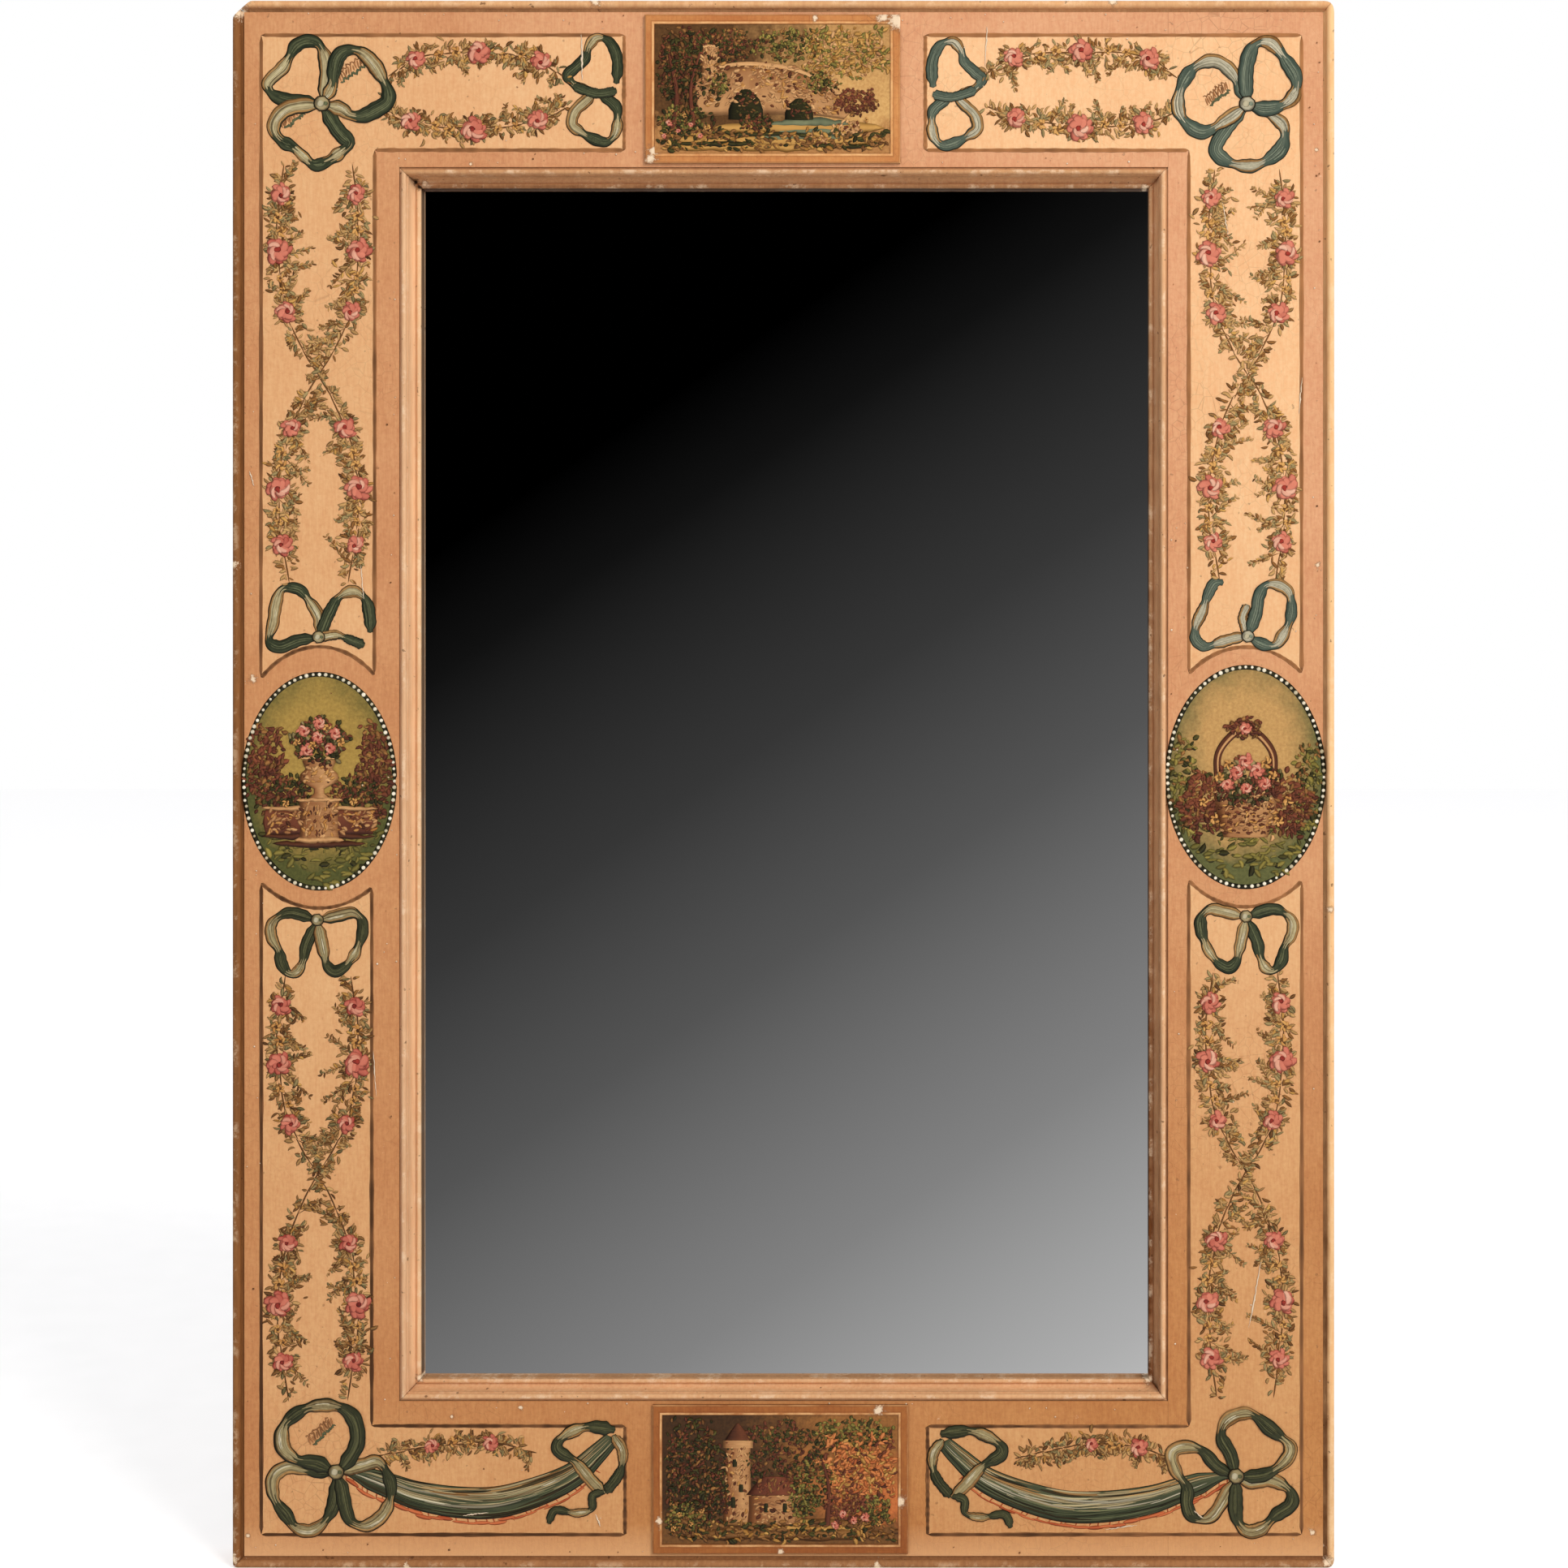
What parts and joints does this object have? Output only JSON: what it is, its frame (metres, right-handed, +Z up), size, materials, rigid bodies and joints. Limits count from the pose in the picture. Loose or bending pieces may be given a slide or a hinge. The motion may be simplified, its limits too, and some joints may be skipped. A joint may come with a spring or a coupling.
{
  "type": "trumeau mirror",
  "caption": "Upright wall mirror in a flat painted wooden frame with beaded edges, a coved sight moulding, picture plaques at top and bottom, and hanging rings behind.",
  "frame": {"origin": "middle of the frame's bottom edge, halfway through its depth, on the face that it stands on", "axes": "+X to the viewer's right, +Z up, the painted front and the mirror face -Y, the wall is on +Y"},
  "size_m": [0.703, 0.038, 1],
  "materials": {
    "painted_board": "aged matt distemper over gesso, pink ground with cream panels",
    "painted_moulding": "worn painted moulding with brown glaze in its hollows",
    "painted_plaque": "ochre border round a painted picture, chipped at the corners",
    "mirror_glass": "silvered plate",
    "old_pine": "bare aged softwood",
    "dark_iron": "dull blackened iron",
    "brass_wire": "tarnished brass wire"
  },
  "bodies": {
    "frame": {"back_board_1": "old_pine", "back_board_2": "old_pine", "back_board_3": "old_pine", "back_nail_1_1": "dark_iron", "back_nail_1_2": "dark_iron", "back_nail_1_3": "dark_iron", "back_nail_1_4": "dark_iron", "back_nail_2_1": "dark_iron", "back_nail_2_2": "dark_iron", "back_nail_2_3": "dark_iron", "back_nail_2_4": "dark_iron", "back_nail_3_1": "dark_iron", "back_nail_3_2": "dark_iron", "back_nail_3_3": "dark_iron", "back_nail_3_4": "dark_iron", "corner_peg_1": "old_pine", "corner_peg_2": "old_pine", "corner_peg_3": "old_pine", "corner_peg_4": "old_pine", "corner_peg_5": "old_pine", "corner_peg_6": "old_pine", "corner_peg_7": "old_pine", "corner_peg_8": "old_pine", "edge_moulding_bottom": "painted_moulding", "edge_moulding_left": "painted_moulding", "edge_moulding_right": "painted_moulding", "edge_moulding_top": "painted_moulding", "glazing_block_bottom_first": "old_pine", "glazing_block_bottom_second": "old_pine", "glazing_block_left_first": "old_pine", "glazing_block_left_second": "old_pine", "glazing_block_right_first": "old_pine", "glazing_block_right_second": "old_pine", "glazing_block_top_first": "old_pine", "glazing_block_top_second": "old_pine", "hanger_screw_left_lower": "dark_iron", "hanger_screw_left_upper": "dark_iron", "hanger_screw_right_lower": "dark_iron", "hanger_screw_right_upper": "dark_iron", "hanger_strap_left": "dark_iron", "hanger_strap_right": "dark_iron", "mirror_plate": "mirror_glass", "plaque_bottom": "painted_plaque", "plaque_top": "painted_plaque", "rail_bottom": "painted_board", "rail_top": "painted_board", "sight_moulding_bottom": "painted_moulding", "sight_moulding_left": "painted_moulding", "sight_moulding_right": "painted_moulding", "sight_moulding_top": "painted_moulding", "stile_left": "painted_board", "stile_right": "painted_board"},
    "ring_left": {"hanger_ring_left": "brass_wire"},
    "ring_right": {"hanger_ring_right": "brass_wire"}
  },
  "joints": [
    {"name": "ring_left_swing", "type": "hinge", "parent": "frame", "child": "ring_left", "pos_m": [-0.295, 0.0111, 0.835], "axis": [1, 0, 0], "range_deg": [0, 180]},
    {"name": "ring_right_swing", "type": "hinge", "parent": "frame", "child": "ring_right", "pos_m": [0.295, 0.0111, 0.835], "axis": [1, 0, 0], "range_deg": [0, 180]}
  ]
}
